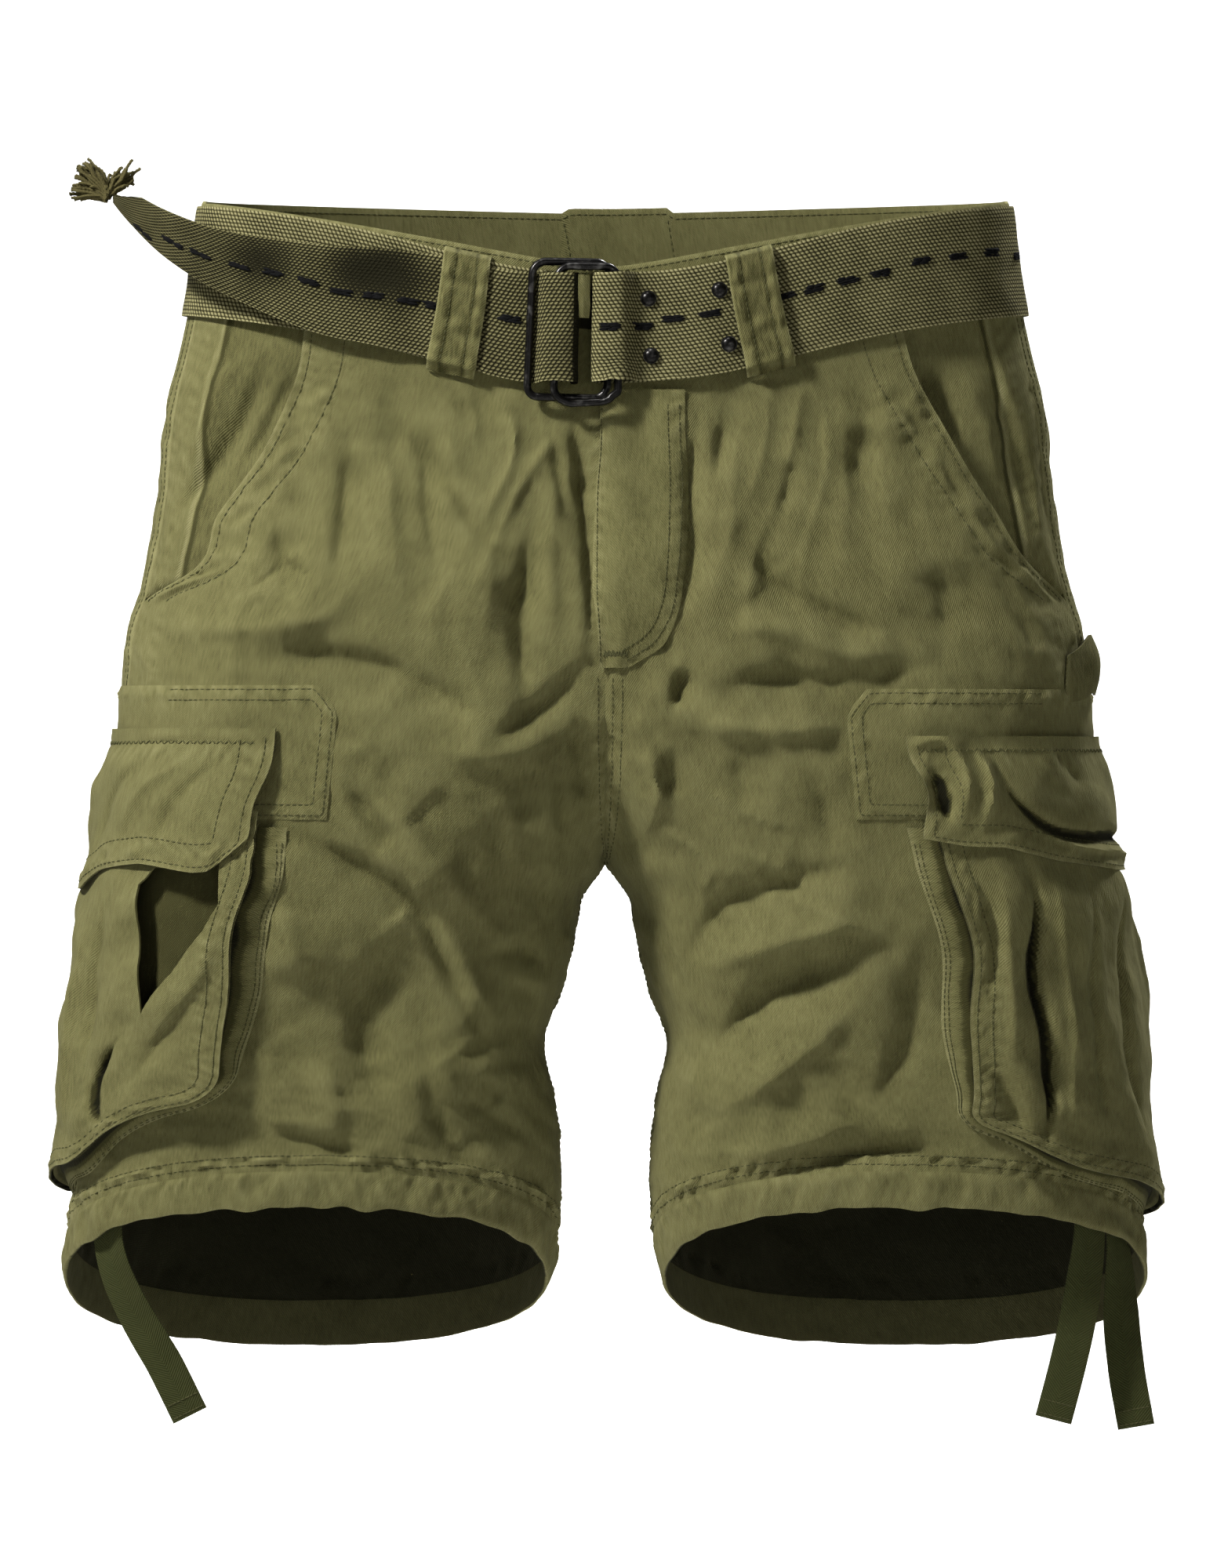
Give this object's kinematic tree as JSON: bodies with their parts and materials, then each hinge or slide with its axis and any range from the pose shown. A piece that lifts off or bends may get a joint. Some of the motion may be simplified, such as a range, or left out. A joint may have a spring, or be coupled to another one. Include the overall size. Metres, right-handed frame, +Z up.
{
  "type": "cargo shorts with webbing belt, worn hollow",
  "caption": "Olive cotton cargo shorts filled out as worn, with webbing belt, ring buckle, bellows pockets and hem drawstrings.",
  "frame": {"origin": "middle of the waist opening, at the height where the waist is held", "axes": "+Z up, -Y to the front of the garment, +X to the wearer's left"},
  "size_m": [0.5666, 0.2221, 0.6478],
  "materials": {
    "twill": "garment-washed olive cotton twill, matt, paler at seams and edges",
    "twill_light": "the same twill worn paler, on loops and tabs",
    "webbing": "coarse cotton webbing with a diagonal rib, matt",
    "tape": "dark olive herringbone tape, matt",
    "gunmetal": "dark gunmetal plate, soft polish"
  },
  "bodies": {
    "root": {"front_panel_left": "twill", "front_panel_right": "twill", "back_panel_left": "twill", "back_panel_right": "twill", "hip_pocket_panel_left": "twill", "hip_pocket_panel_right": "twill", "fly_placket": "twill", "waistband_front_left": "twill", "waistband_front_right": "twill", "waistband_back": "twill", "hem_casing_front_left": "twill", "hem_casing_front_right": "twill", "hem_casing_back_left": "twill", "hem_casing_back_right": "twill", "cargo_patch_left": "twill", "cargo_patch_right": "twill", "cargo_gusset_left": "twill", "cargo_gusset_right": "twill", "cargo_face_left": "twill", "cargo_face_right": "twill", "cargo_flap_left": "twill", "cargo_flap_right": "twill", "side_tab_left": "twill_light", "belt_keeper_tab": "twill_light", "belt_loop_front_left": "twill_light", "belt_loop_front_right": "twill_light", "belt_loop_side_left": "twill_light", "belt_loop_side_right": "twill_light", "belt_loop_back": "twill_light", "belt_strap": "webbing", "belt_tail": "webbing", "belt_tuft": "webbing", "drawstring_tape_right": "tape", "drawstring_tape_left_front": "tape", "drawstring_tape_left_side": "tape", "buckle_ring_outer": "gunmetal", "buckle_ring_inner": "gunmetal", "rivet_1": "gunmetal", "rivet_2": "gunmetal", "rivet_3": "gunmetal", "rivet_4": "gunmetal"}
  },
  "joints": []
}
